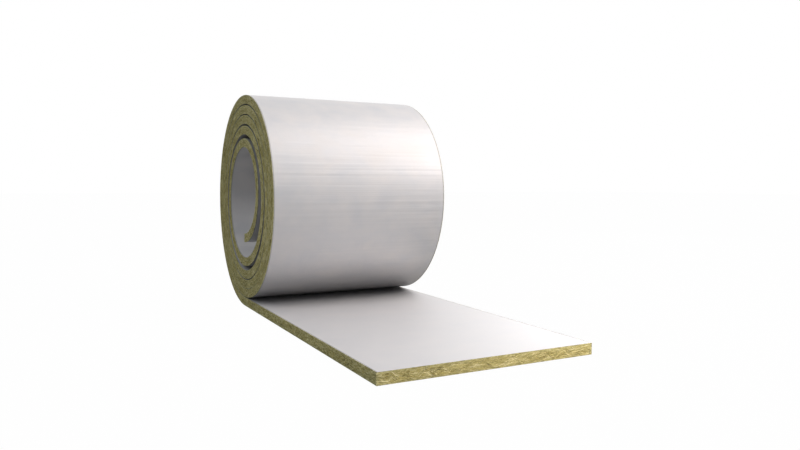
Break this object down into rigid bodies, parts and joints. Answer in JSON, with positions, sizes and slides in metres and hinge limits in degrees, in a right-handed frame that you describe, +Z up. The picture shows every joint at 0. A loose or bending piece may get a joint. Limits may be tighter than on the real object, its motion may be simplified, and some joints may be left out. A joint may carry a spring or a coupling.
{
  "type": "insulation roll",
  "caption": "Faced stone wool mat wound into an open coil, with its outer stretch laid out flat in front as a tail",
  "frame": {"origin": "on the floor, in the middle of the outline of the roll and its tail", "axes": "+Z up, +Y from the end of the tail towards the back of the roll, +X along the axis of the roll, across the width of the mat"},
  "size_m": [0.6, 1.437, 0.73],
  "materials": {
    "faced_wool": "olive stone wool on the cut edges, with a thin silvery white facing on both broad sides"
  },
  "bodies": {
    "root": {"wool_mat": "faced_wool"}
  },
  "joints": []
}
